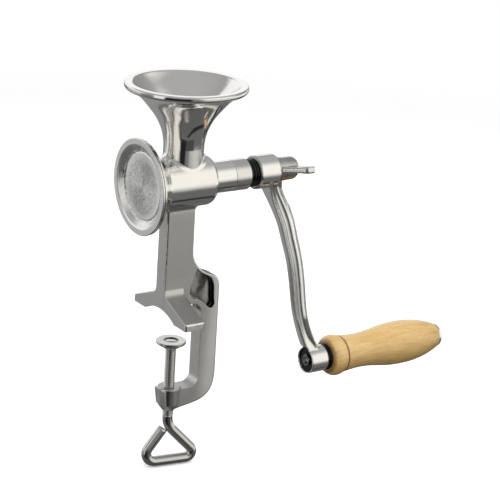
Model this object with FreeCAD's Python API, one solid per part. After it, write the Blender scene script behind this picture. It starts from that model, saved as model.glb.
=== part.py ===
import FreeCAD, Part
import os
import math
from FreeCAD import Vector as V

# Hand crank grain mill with a screw clamp under its foot. Millimetres.
# Frame: origin on the sole plane above the clamp screw axis, +X along the
# drive shaft towards the crank, +Z up.

# ---- driving dimensions ----
SHAFT_Z = 100.0          # height of the drive shaft over the soles
DISC_X = -33.25          # front face of the grinding disc
DISC_R = 34.65
DISC_EDGE = 1.4          # thickness of the disc at its edge
DISC_LIP_R = 30.0        # inner radius of the flat outer ring
DISC_FLOOR_R = 24.8      # radius of the recessed floor
DISC_FLOOR_X = -29.55
GRIND_GAP = 0.4          # axial gap between the burrs
BURR_R0, BURR_R1, BURR_RS, BURR_T = 17.4, 25.2, 21.2, 1.9   # burr rings: radii, screw circle, thickness
CONE = 0.55              # slope of the grinding cone, dx per dr
FLANGE_R = 34.2
BARREL_R = 18.7
BARREL_X1 = 24.4
BARREL_C = 5.0           # rounding of the barrel's rear end
CHAMBER_R = 14.5
CHAMBER_X1 = 19.0
BOSS_R = 11.5
BOSS_X1 = 42.4
COLLAR_X1 = 55.9
RINGS_X1 = 63.1
HUB_X0, HUB_X1, HUB_R = 63.1, 81.0, 12.5
SHAFT_R = 5.0
JOURNAL_R = 6.0
SQUARE = 8.0
TAIL_R = 4.0
HOPPER_X = 2.9
RIM_Z = 172.0
RIM_R = 43.8
THROAT_R = 12.0
COL_X0, COL_X1, COL_Y = -11.6, 12.3, 6.3
LEG_X0, LEG_X1, LEG_Y = -11.2, 4.7, 36.4
ARM_X0, ARM_X1 = 21.0, 36.0
# height where the shoulder's 9 mm corner meets the arm's back, tangent to the 22 mm sweep below the column
SHOULDER_Z = 50.0 - 22 * math.sin(math.radians(70)) - (27.0 + 9 * math.cos(math.radians(70)) - 33.9 + 22 * math.cos(math.radians(70))) / math.tan(math.radians(70)) - 9 * math.sin(math.radians(70))
JAW_Z0, JAW_Z1 = -75.0, -58.0   # end of the threaded boss, top of the jaw
SCREW_R = 4.0            # clamp screw, M8
ROD_R = 3.75
PAD_Z1 = -20.4
PAD_R = 11.0
CRANK_DROP = 158.1       # shaft axis to grip axis
LHUB_X0, LHUB_X1, LHUB_R = 122.8, 138.8, 10.3
GRIP_X0, GRIP_X1 = 142.4, 249.6
BOLT_R = 4.0
WING_UP = 10.5           # the near wing stands this many degrees above level
WING_T = 2.1             # half thickness of a wing
GRIP_Z = SHAFT_Z - CRANK_DROP

os.makedirs("parts", exist_ok=True)
XA = V(1, 0, 0)
YA = V(0, 1, 0)
ZA = V(0, 0, 1)
AX = V(0, 0, SHAFT_Z)


def cyl_x(r, x0, x1, y=0.0, z=SHAFT_Z):
    return Part.makeCylinder(r, x1 - x0, V(x0, y, z), XA)


def cyl_z(r, z0, z1, x=0.0, y=0.0):
    return Part.makeCylinder(r, z1 - z0, V(x, y, z0), ZA)


def box(x0, x1, y0, y1, z0, z1):
    return Part.makeBox(x1 - x0, y1 - y0, z1 - z0, V(x0, y0, z0))


def rev_x(pts, z=SHAFT_Z):
    """Revolve (x, r) points about the X line at height z."""
    w = Part.makePolygon([V(x, 0, z - r) for x, r in pts] + [V(pts[0][0], 0, z - pts[0][1])])
    return Part.Face(w).revolve(V(0, 0, z), XA, 360)


def wire_of(segs):
    """segs: list of ('l', p, q), ('a', p, m, q) or ('s', [points])."""
    edges = []
    for s in segs:
        if s[0] == 'l':
            edges.append(Part.makeLine(s[1], s[2]))
        elif s[0] == 'a':
            edges.append(Part.Arc(s[1], s[2], s[3]).toShape())
        else:
            b = Part.BSplineCurve()
            b.interpolate(s[1])
            edges.append(b.toShape())
    return Part.Wire(edges)


def rounded_poly(pts, radii):
    """Closed wire through pts with a tangent arc of the given radius at each corner."""
    n = len(pts)
    starts, ends, mids = [], [], []
    for i in range(n):
        p, a, b = pts[i], pts[i - 1], pts[(i + 1) % n]
        r = radii[i]
        if r <= 0:
            starts.append(p); ends.append(p); mids.append(None)
            continue
        u = (a - p).normalize()
        v = (b - p).normalize()
        ang = u.getAngle(v)
        t = r / math.tan(ang / 2)
        bis = (u + v).normalize()
        c = p + bis * (r / math.sin(ang / 2))
        starts.append(p + u * t)
        ends.append(p + v * t)
        mids.append(c - bis * r)
    edges = []
    for i in range(n):
        if mids[i] is not None:
            edges.append(Part.Arc(starts[i], mids[i], ends[i]).toShape())
        j = (i + 1) % n
        if (starts[j] - ends[i]).Length > 1e-6:
            edges.append(Part.makeLine(ends[i], starts[j]))
    return Part.Wire(edges)


def extrude_y(wire, y0, y1):
    w = wire.copy()
    w.translate(V(0, y0, 0))
    return Part.Face(w).extrude(V(0, y1 - y0, 0))


def safe_fillet(shape, r, pick, label):
    edges = [e for e in shape.Edges if pick(e)]
    if not edges:
        print("no edges for", label)
        return shape
    try:
        f = shape.makeFillet(r, edges)
        if f.isValid() and f.Volume > 0:
            return f
    except Exception as exc:
        print("fillet", label, exc)
    done = shape
    n = 0
    for e in edges:
        mid = e.CenterOfMass
        for c in done.Edges:
            if (c.CenterOfMass - mid).Length < 1e-3:
                try:
                    f = done.makeFillet(r, [c])
                    if f.isValid():
                        done = f
                        n += 1
                except Exception:
                    pass
                break
    print("fillet", label, n, "of", len(edges))
    return done


NODES = {}


def put(name, shape):
    NODES[name] = shape


# ---- body casting ----
def grind_x(r):
    """Back cone of the disc at radius r."""
    return DISC_X + DISC_EDGE + (DISC_R - r) * CONE


FIX_A = (90, 210, 330)   # places of the burr screws
ROT_A = (30, 150, 270)
FIX = GRIND_GAP          # the fixed cone lies this far behind the disc's cone


def body():
    # foot: two legs in one arch
    leg = wire_of([
        ('l', V(0, -LEG_Y, 0), V(0, -20.5, 0)),
        ('a', V(0, -20.5, 0), V(0, 0, 6.0), V(0, 20.5, 0)),
        ('l', V(0, 20.5, 0), V(0, LEG_Y, 0)),
        ('l', V(0, LEG_Y, 0), V(0, LEG_Y, 5.0)),
        ('l', V(0, LEG_Y, 5.0), V(0, 10.5, 15.6)),
        ('a', V(0, 10.5, 15.6), V(0, 7.5, 17.8), V(0, COL_Y, 21.5)),
        ('l', V(0, COL_Y, 21.5), V(0, COL_Y, 40)),
        ('l', V(0, COL_Y, 40), V(0, -COL_Y, 40)),
        ('l', V(0, -COL_Y, 40), V(0, -COL_Y, 21.5)),
        ('a', V(0, -COL_Y, 21.5), V(0, -7.5, 17.8), V(0, -10.5, 15.6)),
        ('l', V(0, -10.5, 15.6), V(0, -LEG_Y, 5.0)),
        ('l', V(0, -LEG_Y, 5.0), V(0, -LEG_Y, 0)),
    ])
    leg.translate(V(LEG_X0, 0, 0))
    foot = Part.Face(leg).extrude(V(LEG_X1 - LEG_X0, 0, 0))
    foot = safe_fillet(foot, 1.3, lambda e: abs(abs(e.CenterOfMass.y) - LEG_Y) < 0.01 and e.CenterOfMass.z > 1.0, "leg ends")
    foot = safe_fillet(foot, 0.7, lambda e: min(abs(e.CenterOfMass.x - LEG_X0), abs(e.CenterOfMass.x - LEG_X1)) < 0.01 and abs(e.CenterOfMass.y) > 4.0 and e.CenterOfMass.z > 6.0, "leg sides")

    # column flowing into the clamp arm, one plate 12.6 thick
    plate = wire_of([
        ('l', V(COL_X0, 0, 8), V(COL_X0 + 0.6, 0, 96)),
        ('l', V(COL_X0 + 0.6, 0, 96), V(COL_X1 - 0.4, 0, 96)),
        ('l', V(COL_X1 - 0.4, 0, 96), V(COL_X1 - 0.4, 0, 50.0)),
        ('a', V(COL_X1 - 0.4, 0, 50.0), V(33.9 - 22 * math.cos(math.radians(35)), 0, 50.0 - 22 * math.sin(math.radians(35))), V(33.9 - 22 * math.cos(math.radians(70)), 0, 50.0 - 22 * math.sin(math.radians(70)))),
        ('l', V(33.9 - 22 * math.cos(math.radians(70)), 0, 50.0 - 22 * math.sin(math.radians(70))), V(27.0 + 9 * math.cos(math.radians(70)), 0, SHOULDER_Z + 9 * math.sin(math.radians(70)))),
        ('a', V(27.0 + 9 * math.cos(math.radians(70)), 0, SHOULDER_Z + 9 * math.sin(math.radians(70))), V(27.0 + 9 * math.cos(math.radians(35)), 0, SHOULDER_Z + 9 * math.sin(math.radians(35))), V(36.0, 0, SHOULDER_Z)),
        ('l', V(36.0, 0, SHOULDER_Z), V(36.0, 0, -48)),
        ('s', [V(36.0, 0, -48), V(35.1, 0, -56.6), V(31.7, 0, -64.4), V(26.0, 0, -68.9), V(17.6, 0, -71.4), V(7.0, 0, -73.0)]),
        ('l', V(7.0, 0, -73.0), V(-4.0, 0, -73.6)),
        ('l', V(-4.0, 0, -73.6), V(-6.6, 0, -71.0)),
        ('l', V(-6.6, 0, -71.0), V(-8.5, 0, JAW_Z1)),
        ('l', V(-8.5, 0, JAW_Z1), V(14.0, 0, JAW_Z1)),
        ('a', V(14.0, 0, JAW_Z1), V(18.95, 0, -55.95), V(ARM_X0, 0, -51.0)),
        ('l', V(ARM_X0, 0, -51.0), V(ARM_X0, 0, -0.2)),
        ('a', V(ARM_X0, 0, -0.2), V(18.75, 0, 5.35), V(13.2, 0, 7.6)),
        ('l', V(13.2, 0, 7.6), V(2.0, 0, 7.6)),
        ('l', V(2.0, 0, 7.6), V(2.0, 0, 8.0)),
        ('l', V(2.0, 0, 8.0), V(COL_X0, 0, 8)),
    ])
    arm = extrude_y(plate, -COL_Y, COL_Y)
    arm = safe_fillet(arm, 1.4, lambda e: abs(abs(e.CenterOfMass.y) - COL_Y) < 0.01 and (e.CenterOfMass.x > 11.5 or e.CenterOfMass.x < -10.0), "arm edges")
    # pockets on both sides leave a web and an outer rib
    pocket = wire_of([
        ('s', [V(15.9, 0, 34.4), V(19.8, 0, 30.9), V(24.9, 0, 28.0), V(28.3, 0, 25.6), V(30.3, 0, 21.6), V(31.2, 0, 15.0), V(31.7, 0, 7.0)]),
        ('s', [V(31.7, 0, 7.0), V(31.4, 0, 3.6), V(29.6, 0, 2.0), V(26.6, 0, 3.2), V(22.6, 0, 7.0), V(18.2, 0, 10.0), V(13.6, 0, 11.4)]),
        ('s', [V(13.6, 0, 11.4), V(10.6, 0, 14.2), V(10.4, 0, 19.0), V(12.2, 0, 24.6), V(14.0, 0, 30.2), V(15.9, 0, 34.4)]),
    ])
    for y0, y1 in ((-COL_Y - 1, -1.9), (1.9, COL_Y + 1)):
        arm = arm.cut(extrude_y(pocket, y0, y1))

    # threaded boss of the lower jaw
    jaw = Part.Face(Part.makePolygon([V(0, 0, JAW_Z0), V(4.9, 0, JAW_Z0), V(6.6, 0, JAW_Z0 + 2.4), V(8.3, 0, JAW_Z0 + 5.0), V(8.8, 0, JAW_Z1 + 0.6), V(8.2, 0, JAW_Z1 + 1.2), V(0, 0, JAW_Z1 + 1.2), V(0, 0, JAW_Z0)])).revolve(V(0, 0, 0), ZA, 360)

    # barrel, flange and rear boss on the shaft axis
    bp = lambda x, r: V(x, 0, SHAFT_Z - r)
    q = BARREL_C * math.sqrt(0.5)
    barrel = Part.Face(wire_of([
        ('l', bp(-31.45, 0), bp(-31.45, FLANGE_R)),
        ('l', bp(-31.45, FLANGE_R), bp(-31.2, FLANGE_R + 0.2)),
        ('l', bp(-31.2, FLANGE_R + 0.2), bp(-30.2, FLANGE_R + 0.2)),
        ('l', bp(-30.2, FLANGE_R + 0.2), bp(-29.9, FLANGE_R)),
        ('l', bp(-29.9, FLANGE_R), bp(-23.2, 25.2)),
        ('s', [bp(-23.2, 25.2), bp(-21.2, 22.6), bp(-19.4, 20.7), bp(-17.6, 19.45), bp(-15.8, 18.85), bp(-14.0, BARREL_R)]),
        ('l', bp(-14.0, BARREL_R), bp(BARREL_X1 - BARREL_C, BARREL_R)),
        ('a', bp(BARREL_X1 - BARREL_C, BARREL_R), bp(BARREL_X1 - BARREL_C + q, BARREL_R - BARREL_C + q), bp(BARREL_X1, BARREL_R - BARREL_C)),
        ('l', bp(BARREL_X1, BARREL_R - BARREL_C), bp(BARREL_X1, BOSS_R + 1.4)),
        ('a', bp(BARREL_X1, BOSS_R + 1.4), bp(BARREL_X1 + 0.41, BOSS_R + 0.41), bp(BARREL_X1 + 1.4, BOSS_R)),
        ('l', bp(BARREL_X1 + 1.4, BOSS_R), bp(BOSS_X1, BOSS_R)),
        ('l', bp(BOSS_X1, BOSS_R), bp(BOSS_X1, 0)),
        ('l', bp(BOSS_X1, 0), bp(-31.45, 0)),
    ])).revolve(AX, XA, 360)

    # hopper, a trumpet with a rolled rim
    outer = [(14.5, 110.0), (14.5, 126.5), (14.65, 129.2), (15.0, 131.8), (15.7, 135.5), (16.9, 139.3), (18.5, 143.0), (20.5, 146.8), (22.8, 150.2), (25.3, 153.4), (27.9, 156.6), (30.5, 159.6), (33.3, 162.4), (36.3, 164.7), (39.0, 166.3), (41.3, 167.2)]
    bo = Part.BSplineCurve(); bo.interpolate([V(HOPPER_X + r, 0, z) for r, z in outer[1:]])
    inner = [(37.7, 171.2), (35.4, 168.4), (32.6, 165.4), (29.6, 162.4), (26.6, 159.2), (23.6, 155.8), (20.6, 151.8), (17.6, 147.2), (15.0, 142.2), (13.2, 137.0), (12.3, 131.5), (THROAT_R, 126.0)]
    bi = Part.BSplineCurve(); bi.interpolate([V(HOPPER_X + r, 0, z) for r, z in inner])
    hp = lambda r, z: V(HOPPER_X + r, 0, z)
    out_edges = [Part.makeLine(hp(0, 104), hp(14.5, 104)), Part.makeLine(hp(14.5, 104), hp(14.5, 126.5)), bo.toShape(),
                 Part.Arc(hp(41.3, 167.2), hp(43.1, 168.0), hp(RIM_R, 169.4)).toShape(),
                 Part.makeLine(hp(RIM_R, 169.4), hp(RIM_R, 170.7)),
                 Part.Arc(hp(RIM_R, 170.7), hp(43.4, 171.62), hp(42.4, 172.0)).toShape(),
                 Part.makeLine(hp(42.4, 172.0), hp(39.0, 172.0)),
                 Part.Arc(hp(39.0, 172.0), hp(38.25, 171.75), hp(37.7, 171.2)).toShape()]
    solid_edges = out_edges + [bi.toShape(), Part.makeLine(hp(THROAT_R, 126.0), hp(THROAT_R, 106)), Part.makeLine(hp(THROAT_R, 106), hp(0, 106)), Part.makeLine(hp(0, 106), hp(0, 104))]
    horn = Part.Face(Part.Wire(solid_edges)).revolve(V(HOPPER_X, 0, 0), ZA, 360)
    throat = Part.Face(Part.Wire([bi.toShape(), Part.makeLine(hp(THROAT_R, 126.0), hp(THROAT_R, SHAFT_Z)), Part.makeLine(hp(THROAT_R, SHAFT_Z), hp(0, SHAFT_Z)), Part.makeLine(hp(0, SHAFT_Z), hp(0, 173)), Part.makeLine(hp(0, 173), hp(37.7, 173)), Part.makeLine(hp(37.7, 173), hp(37.7, 171.2))])).revolve(V(HOPPER_X, 0, 0), ZA, 360)

    core = barrel.fuse(horn)
    core = safe_fillet(core, 4.0, lambda e: 108 < e.CenterOfMass.z < 121 and abs(e.CenterOfMass.x - HOPPER_X) < 20 and e.BoundBox.XLength > 20 and e.BoundBox.ZLength > 2, "throat root")
    core = core.fuse(arm)
    core = safe_fillet(core, 3.4, lambda e: 78 < e.CenterOfMass.z < 86 and abs(e.CenterOfMass.y) < COL_Y + 0.3 and -14 < e.CenterOfMass.x < 14 and e.BoundBox.ZLength < 4, "column head")
    core = core.fuse([foot, jaw])
    # hollow inside: grinding cone, chamber, throat, bush seat
    x_in = grind_x(CHAMBER_R) + FIX
    cone = rev_x([(-33.0, 0), (-33.0, 40.0), (-31.45 - 2.0, FLANGE_R + (2.0) / CONE + 0.45), (x_in, CHAMBER_R), (x_in, 0)])
    core = core.cut(cone)
    core = core.cut(cyl_x(CHAMBER_R, x_in - 0.5, CHAMBER_X1))
    core = core.cut(throat)
    core = core.cut(cyl_x(8.0, CHAMBER_X1 - 1, BOSS_X1 + 1))
    # seat of the fixed burr
    core = core.cut(ring_shape(BURR_R0, BURR_R1, FIX, FIX + BURR_T))
    for a in FIX_A:
        core = core.cut(screw_tool(BURR_RS, a, FIX, 4.2, 1.25))
    # clearance for the clamp screw
    core = core.cut(cyl_z(SCREW_R + 0.08, JAW_Z0 - 2, JAW_Z1 + 3))
    return core.removeSplitter()


def ring_shape(r0, r1, f0, f1):
    """Conical ring between two offsets behind the disc's back cone."""
    return rev_x([(grind_x(r0) + f0, r0), (grind_x(r1) + f0, r1), (grind_x(r1) + f1, r1), (grind_x(r0) + f1, r0)])


def on_cone(r, ang, off):
    a = math.radians(ang)
    return V(grind_x(r) + off, r * math.cos(a), SHAFT_Z + r * math.sin(a))


def cone_normal(ang):
    """Outward normal of the fixed cone, pointing to -X and inwards."""
    a = math.radians(ang)
    n = V(-1.0, -CONE * math.cos(a), -CONE * math.sin(a))
    return n.normalize()


def screw_tool(r, ang, off, depth, rad):
    p = on_cone(r, ang, off)
    n = cone_normal(ang) * -1
    return Part.makeCylinder(rad, depth, p, n)


def csk_screw(r, ang, off_face, off_seat, depth, flip):
    """Countersunk screw through a burr ring of the given offsets."""
    n = cone_normal(ang) * (1 if flip else -1)
    p = on_cone(r, ang, off_face)
    t = abs(off_seat - off_face) / math.sqrt(1 + CONE * CONE)
    head = Part.makeCone(2.1, 1.2, 0.85, p + n * 0.4, n)
    shank = Part.makeCylinder(1.2, t + depth - 0.4, p + n * 0.4, n)
    s = head.fuse(shank)
    slot = Part.makeBox(6, 0.6, 0.4, V(-3, -0.3, 0))
    rot = FreeCAD.Rotation(ZA, n)
    slot.Placement = FreeCAD.Placement(p + n * 0.4, rot)
    return s.cut(slot).removeSplitter()


def csk_hole(r, ang, off_face, off_seat, flip):
    n = cone_normal(ang) * (1 if flip else -1)
    p = on_cone(r, ang, off_face)
    t = abs(off_seat - off_face)
    tool = Part.makeCylinder(2.15, 0.42 + 1.0, p - n * 1.0, n)
    tool = tool.fuse(Part.makeCone(2.15, 1.25, 0.85, p + n * 0.41, n))
    tool = tool.fuse(Part.makeCylinder(1.25, t + 2, p, n))
    return tool


def burr(off_face, off_seat, flip, teeth, lead, angles):
    ring = ring_shape(BURR_R0, BURR_R1, min(off_face, off_seat), max(off_face, off_seat))
    cuts = []
    for i in range(teeth):
        ang = 360.0 * i / teeth
        p = on_cone(BURR_RS, ang, off_face)
        n = cone_normal(ang) * (1 if flip else -1)
        a = math.radians(ang)
        rad = V(-CONE, math.cos(a), math.sin(a)).normalize()
        tan = n.cross(rad).normalize()
        rad2 = (rad * math.cos(lead) + tan * math.sin(lead)).normalize()
        tan2 = n.cross(rad2).normalize()
        w = 0.75
        tri = Part.makePolygon([p - rad2 * 9 - tan2 * w - n * 0.4, p - rad2 * 9 + tan2 * w - n * 0.4, p - rad2 * 9 + n * 0.8, p - rad2 * 9 - tan2 * w - n * 0.4])
        cuts.append(Part.Face(tri).extrude(rad2 * 18))
    ring = ring.cut(Part.makeCompound(cuts))
    for ang in angles:
        ring = ring.cut(csk_hole(BURR_RS, ang, off_face, off_seat, flip))
    return ring.removeSplitter()


put("body_casting", body())

# ---- bearing bush with its collar ----
bush = cyl_x(8.0, CHAMBER_X1, BOSS_X1)
collar = rev_x([(BOSS_X1, 0), (BOSS_X1, BOSS_R - 0.35), (BOSS_X1 + 0.35, BOSS_R), (COLLAR_X1 - 0.6, BOSS_R), (COLLAR_X1, BOSS_R - 0.6), (COLLAR_X1, 0)])
put("bearing_bush", bush.fuse(collar).cut(cyl_x(JOURNAL_R + 0.05, CHAMBER_X1 - 1, COLLAR_X1 + 1)).removeSplitter())

# ---- burr rings and their screws ----
put("fixed_burr", burr(FIX, FIX + BURR_T, False, 30, math.radians(14), FIX_A))
put("fixed_burr_screws", Part.makeCompound([csk_screw(BURR_RS, a, FIX, FIX + BURR_T, 1.6, False) for a in FIX_A]))
put("rotating_burr", burr(0.0, -BURR_T, True, 30, math.radians(14), ROT_A))
put("rotating_burr_screws", Part.makeCompound([csk_screw(BURR_RS, a, 0.0, -BURR_T, 1.2, True) for a in ROT_A]))

# ---- grinding disc: dished front, conical back, hub for the shaft ----
disc = rev_x([
    (DISC_X + 0.25, DISC_R), (DISC_X, DISC_R - 0.3), (DISC_X, DISC_LIP_R + 0.5), (DISC_X + 0.15, DISC_LIP_R),
    (DISC_FLOOR_X - 0.9, DISC_FLOOR_R + 1.7), (DISC_FLOOR_X - 0.35, DISC_FLOOR_R + 1.0), (DISC_FLOOR_X - 0.35, DISC_FLOOR_R + 0.45),
    (DISC_FLOOR_X + 0.35, DISC_FLOOR_R + 0.2), (DISC_FLOOR_X + 0.35, DISC_FLOOR_R - 0.25), (DISC_FLOOR_X - 0.1, DISC_FLOOR_R - 0.6), (DISC_FLOOR_X, DISC_FLOOR_R - 2.0), (DISC_FLOOR_X, 0),
    (-9.0, 0), (-9.0, 9.0), (-9.6, 9.5), (grind_x(9.5), 9.5), (grind_x(DISC_R), DISC_R)])
disc = disc.cut(ring_shape(BURR_R0, BURR_R1, -BURR_T, 0.6))
disc = disc.cut(cyl_x(SHAFT_R, -24.0, -8.0))
disc = disc.cut(Part.makeCylinder(1.5, 40, V(-13.0, 0, SHAFT_Z - 20), ZA))
for a in ROT_A:
    n = cone_normal(a)
    disc = disc.cut(Part.makeCylinder(1.25, BURR_T / math.sqrt(1 + CONE * CONE) + 1.3, on_cone(BURR_RS, a, 0.0), n))
put("grinding_disc", disc.removeSplitter())
put("disc_pin", Part.makeCylinder(1.5, 18.6, V(-13.0, 0, SHAFT_Z - 9.3), ZA))

# ---- feed auger: a sleeve with one helical flight ----
AUG_X0, AUG_X1, AUG_R, AUG_PITCH = -8.8, CHAMBER_X1 - 0.5, 14.0, 14.0
PIN_X = AUG_X1 - 2.0


def polar(r, deg):
    return V(r * math.cos(math.radians(deg)), r * math.sin(math.radians(deg)), 0)


# section across the axis, twisted along it by a helix
worm = Part.Wire([Part.Arc(polar(AUG_R, -20), polar(AUG_R, 0), polar(AUG_R, 20)).toShape(),
                  Part.makeLine(polar(AUG_R, 20), polar(7.6, 36)),
                  Part.Arc(polar(7.6, 36), polar(7.6, 180), polar(7.6, -36)).toShape(),
                  Part.makeLine(polar(7.6, -36), polar(AUG_R, -20))])
AUG_L = AUG_X1 - AUG_X0
ps = Part.BRepOffsetAPI.MakePipeShell(Part.Wire([Part.makeLine(V(0, 0, 0), V(0, 0, AUG_L))]))
ps.setAuxiliarySpine(Part.Wire(Part.makeHelix(AUG_PITCH, AUG_L, 20.0).Edges), True, 0)
ps.add(worm, False, False)
ps.build()
ps.makeSolid()
auger = ps.shape().mirror(V(0, 0, 0), YA)      # left-hand worm: pushes to the disc when cranked clockwise
auger.rotate(V(0, 0, 0), YA, 90)
auger.translate(V(AUG_X0, 0, SHAFT_Z))
auger = auger.cut(cyl_x(SHAFT_R, AUG_X0 - 1, AUG_X1 + 1))
auger = auger.cut(Part.makeCylinder(1.5, 40, V(PIN_X, 0, SHAFT_Z - 20), ZA))
put("feed_auger", auger.removeSplitter())
put("auger_pin", Part.makeCylinder(1.5, 15.0, V(PIN_X, 0, SHAFT_Z - 7.5), ZA))

# ---- drive shaft ----
sh = cyl_x(SHAFT_R, -23.9, CHAMBER_X1 - 0.3).fuse(cyl_x(JOURNAL_R, CHAMBER_X1 - 0.4, 62.4))
h = SQUARE / 2
sq = box(62.3, 80.4, -h, h, SHAFT_Z - h, SHAFT_Z + h).common(cyl_x(5.3, 62.3, 80.4))
sh = sh.fuse(sq)
sh = sh.fuse(rev_x([(80.3, 0), (80.3, TAIL_R), (94.0, TAIL_R), (95.0, TAIL_R - 1.0), (95.0, 0)]))
for px in (-13.0, PIN_X):
    sh = sh.cut(Part.makeCylinder(1.5, 40, V(px, 0, SHAFT_Z - 20), ZA))
put("drive_shaft", sh.removeSplitter())

# ---- tension rings: three alike rings side by side ----
rings = []
rw = (RINGS_X1 - COLLAR_X1 - 0.2) / 3.0
for i in range(3):
    x0 = COLLAR_X1 + 0.2 + i * rw
    r = rev_x([(x0, 6.3), (x0, 9.2), (x0 + 0.3, 9.95), (x0 + 0.75, 10.35), (x0 + rw - 0.75, 10.35), (x0 + rw - 0.3, 9.95), (x0 + rw, 9.2), (x0 + rw, 6.3)])
    rings.append(r)
put("tension_rings", Part.makeCompound(rings))

# ---- crank arm ----
CL = [(75.4, 98.5), (78.9, 91.8), (82.7, 84.4), (86.9, 76.4), (91.8, 67.0), (95.8, 58.1), (99.6, 46.6), (103.4, 35.0), (106.2, 25.5), (108.4, 15.6), (110.6, 3.5), (112.6, -8.8), (114.4, -17.2), (116.8, -25.2), (120.0, -33.8), (123.8, -42.2), (127.4, -50.2)]
WID = [11.0, 11.4, 12.0, 12.4, 12.6, 12.3, 12.0, 11.7, 11.4, 11.2, 10.9, 10.6, 10.4, 10.2, 10.3, 10.8, 11.6]
THK = [24.2, 20.2, 14.4, 10.8, 9.2, 8.7, 8.4, 8.2, 8.1, 8.0, 7.9, 7.8, 7.7, 7.7, 7.9, 8.4, 9.0]
GRV = [0.55, 0.8, 1.0, 1.0, 1.0, 1.0, 1.0, 1.0, 1.0, 1.0, 1.0, 1.0, 1.0, 1.0, 0.95, 0.6, 0.0]


def section(i):
    x, z = CL[i]
    a = CL[max(0, i - 1)]
    b = CL[min(len(CL) - 1, i + 1)]
    d = V(b[0] - a[0], 0, b[1] - a[1]).normalize()
    u = V(-d.z, 0, d.x)          # across the arm, towards +X
    w = WID[i] / 2
    t = THK[i] / 2
    g = GRV[i]
    q = [(1.0, 0.0), (1.0, 0.32), (0.985, 0.62), (0.90, 0.88), (0.74, 1.0), (0.60, 0.965 - 0.04 * g), (0.48, 0.98 - 0.25 * g), (0.30, 0.99 - 0.46 * g), (0.0, 1.0 - 0.55 * g)]
    quarter = q
    ring_pts = []
    for s, c in quarter:
        ring_pts.append((s, c))
    for s, c in reversed(quarter[:-1]):
        ring_pts.append((-s, c))
    for s, c in quarter[1:]:
        ring_pts.append((-s, -c))
    for s, c in reversed(quarter[1:-1]):
        ring_pts.append((s, -c))
    pts = [V(x, 0, z) + u * (s * w) + YA * (c * t) for s, c in ring_pts]
    bs = Part.BSplineCurve()
    bs.interpolate(pts, PeriodicFlag=True)
    return Part.Wire([bs.toShape()])


arm = Part.makeLoft([section(i) for i in range(len(CL))], True, False)
# the lower end slopes in to the hub's end face instead of standing past it
heel = [V(118.6, -15, -44.3), V(LHUB_X0, -15, -48.4), V(LHUB_X0, -15, -64.0), V(104.0, -15, -64.0), V(104.0, -15, -44.3)]
arm = arm.cut(Part.Face(Part.makePolygon(heel + [heel[0]])).extrude(V(0, 30, 0)))
uhub = rev_x([(HUB_X0, 0), (HUB_X0, HUB_R - 0.9), (HUB_X0 + 0.9, HUB_R), (HUB_X1 - 0.9, HUB_R), (HUB_X1, HUB_R - 0.9), (HUB_X1, 0)])
lhub = rev_x([(LHUB_X0, 0), (LHUB_X0, LHUB_R - 0.5), (LHUB_X0 + 0.5, LHUB_R), (LHUB_X1 - 0.5, LHUB_R), (LHUB_X1, LHUB_R - 0.5), (LHUB_X1, 0)], GRIP_Z)
crank = arm.fuse([uhub, lhub])
hs = SQUARE / 2 + 0.1
crank = crank.cut(box(HUB_X0 - 1, HUB_X1 + 1, -hs, hs, SHAFT_Z - hs, SHAFT_Z + hs).common(cyl_x(5.45, HUB_X0 - 1, HUB_X1 + 1)))
crank = crank.cut(cyl_x(8.8, LHUB_X0 - 1, LHUB_X1 + 1, 0, GRIP_Z)).cut(cyl_x(9.5, LHUB_X0 - 1, 127.0, 0, GRIP_Z))
crank = crank.cut(rev_x([(HUB_X1 + 0.02, 0), (HUB_X1 + 0.02, 9.7), (82.2, 9.7), (93.9, 26.2), (93.9, 27.2), (112.0, 27.2), (112.0, 0)]))
put("crank_arm", crank.removeSplitter())

# ---- grip: bush, through bolt, nut and the turned wood ----
gb = rev_x([(124.7, 3.02), (124.7, 8.9), (125.2, 9.48), (126.98, 9.48), (126.98, 8.79), (138.78, 8.79), (138.78, 4.02), (138.4, 4.02), (138.4, 3.02)], GRIP_Z)
put("grip_bush", gb)
# black collar between the crank and the wood
gc = rev_x([(138.84, 4.03), (138.84, 9.0), (139.1, 9.3), (140.6, 9.3), (140.9, 9.9), (141.2, 10.2), (142.0, 10.2), (142.3, 9.9), (142.3, 4.03)], GRIP_Z)
put("grip_collar", gc)
gbolt = rev_x([(122.9, 0), (122.9, 2.3), (123.5, 3.0), (138.4, 3.0), (138.4, BOLT_R), (GRIP_X1 + 0.1, BOLT_R), (GRIP_X1 + 0.1, 8.9), (GRIP_X1 + 0.3, 9.1), (GRIP_X1 + 2.0, 9.1), (GRIP_X1 + 2.5, 8.75), (GRIP_X1 + 2.85, 7.9), (GRIP_X1 + 3.25, 5.6), (GRIP_X1 + 3.5, 2.8), (GRIP_X1 + 3.55, 0)], GRIP_Z)
put("grip_bolt", gbolt)
hexa = []
for i in range(7):
    a = math.radians(60 * i + 30)
    hexa.append(V(123.2, 5.0 * math.cos(a), GRIP_Z + 5.0 * math.sin(a)))
nut = Part.Face(Part.makePolygon(hexa)).extrude(V(1.48, 0, 0))
cone_cut = rev_x([(123.2, 0), (123.2, 4.1), (123.8, 5.0), (124.68, 5.2), (124.68, 0)], GRIP_Z)
put("grip_nut", nut.common(cone_cut).cut(cyl_x(3.02, 120, 130, 0, GRIP_Z)).removeSplitter())

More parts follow.
